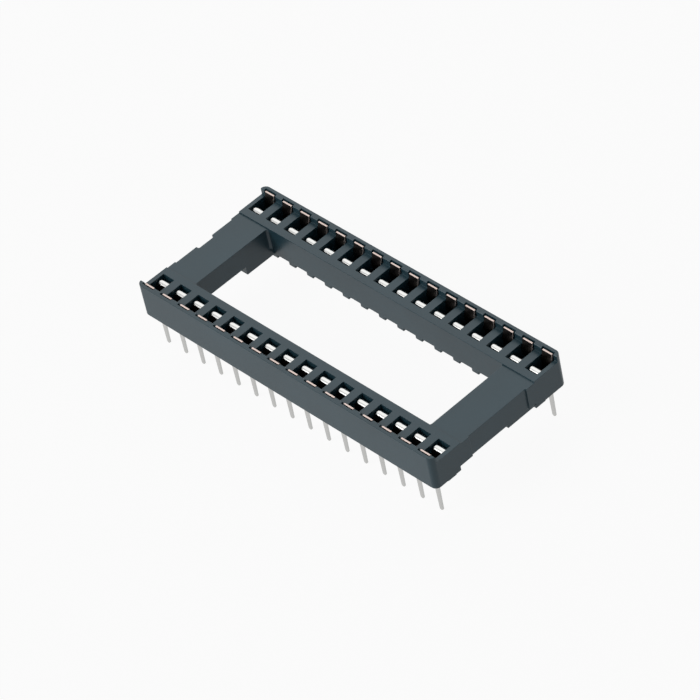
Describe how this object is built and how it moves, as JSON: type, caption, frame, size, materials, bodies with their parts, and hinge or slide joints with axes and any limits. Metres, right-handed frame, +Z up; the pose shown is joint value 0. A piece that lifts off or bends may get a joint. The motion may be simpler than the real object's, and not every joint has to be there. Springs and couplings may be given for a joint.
{
  "type": "dual in-line chip socket",
  "caption": "Open-frame through-hole socket for a wide dual in-line chip: a black moulded frame with a central window, and a spring contact with a flat tail in every cavity of its two rows.",
  "frame": {"origin": "middle of the tail grid, on the board surface that the standoff pads stand on", "axes": "+X along the two contact rows, away from the notched end; +Z up, away from the board, towards the chip"},
  "size_m": [0.0406, 0.0174, 0.0081],
  "materials": {
    "housing": "moulded, satin",
    "contact": "stamped and tin plated"
  },
  "bodies": {
    "root": {"housing": "housing", "contact_01": "contact", "contact_02": "contact", "contact_03": "contact", "contact_04": "contact", "contact_05": "contact", "contact_06": "contact", "contact_07": "contact", "contact_08": "contact", "contact_09": "contact", "contact_10": "contact", "contact_11": "contact", "contact_12": "contact", "contact_13": "contact", "contact_14": "contact", "contact_15": "contact", "contact_16": "contact", "contact_17": "contact", "contact_18": "contact", "contact_19": "contact", "contact_20": "contact", "contact_21": "contact", "contact_22": "contact", "contact_23": "contact", "contact_24": "contact", "contact_25": "contact", "contact_26": "contact", "contact_27": "contact", "contact_28": "contact", "contact_29": "contact", "contact_30": "contact", "contact_31": "contact", "contact_32": "contact"}
  },
  "joints": []
}
